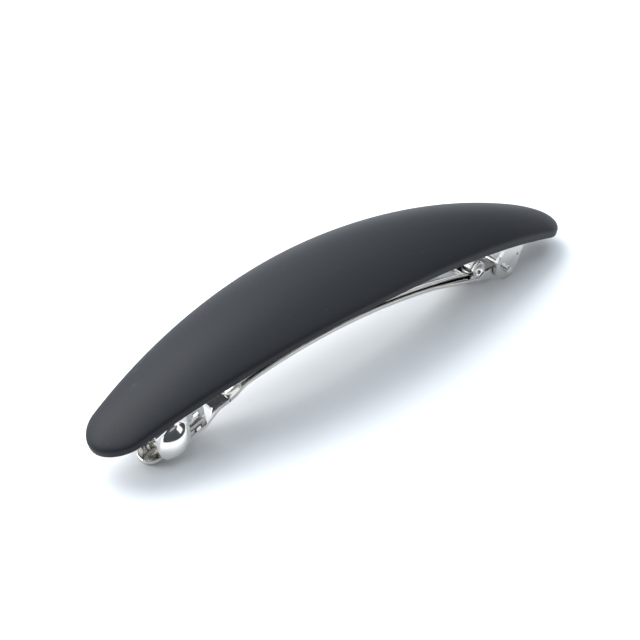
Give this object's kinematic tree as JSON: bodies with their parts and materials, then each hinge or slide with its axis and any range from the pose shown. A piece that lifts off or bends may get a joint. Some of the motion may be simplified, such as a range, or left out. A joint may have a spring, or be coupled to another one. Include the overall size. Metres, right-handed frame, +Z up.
{
  "type": "hair barrette",
  "caption": "Long arched lens-shaped hair barrette: matt cover on a sprung steel clip with a hinged arm, tension bar and pinch clasp.",
  "frame": {"origin": "middle of the bounding box's footprint, on the surface the closed clip rests on", "axes": "+X along the barrette towards the hinge end, -X towards the clasp and thumb tab, +Y across it, +Z up through the cover"},
  "size_m": [0.1033, 0.0206, 0.0199],
  "materials": {
    "cover": "soft matt black",
    "bond": "cured adhesive",
    "plated_steel": "bright nickel plate on spring steel"
  },
  "bodies": {
    "clip": {"cover": "cover", "bond": "bond", "base_plate": "plated_steel", "clasp_bridge": "plated_steel", "clasp_rivets": "plated_steel", "hinge_pin": "plated_steel"},
    "near_pinch": {"near_jaw": "plated_steel"},
    "far_pinch": {"far_jaw": "plated_steel"},
    "arm": {"closing_arm": "plated_steel"},
    "bow": {"tension_bar": "plated_steel"}
  },
  "joints": [
    {"name": "arm_hinge", "type": "hinge", "parent": "arm", "child": "clip", "pos_m": [0.03721, 0, 0.00203], "axis": [0, 1, 0], "range_deg": [0, 100]},
    {"name": "near_squeeze", "type": "hinge", "parent": "clip", "child": "near_pinch", "pos_m": [-0.03934, -0.003, 0.00843], "axis": [0.9638, 0, 0.2668], "range_deg": [0, 4], "stiffness_Nm_per_rad": 0.1},
    {"name": "far_squeeze", "type": "hinge", "parent": "clip", "child": "far_pinch", "pos_m": [-0.03934, 0.003, 0.00843], "axis": [-0.9638, 0, -0.2668], "range_deg": [0, 4], "stiffness_Nm_per_rad": 0.1},
    {"name": "bar_lift", "type": "hinge", "parent": "arm", "child": "bow", "pos_m": [0.03188, 0, 0.00361], "axis": [0, 1, 0], "range_deg": [0, 4.5], "stiffness_Nm_per_rad": 0.02}
  ]
}
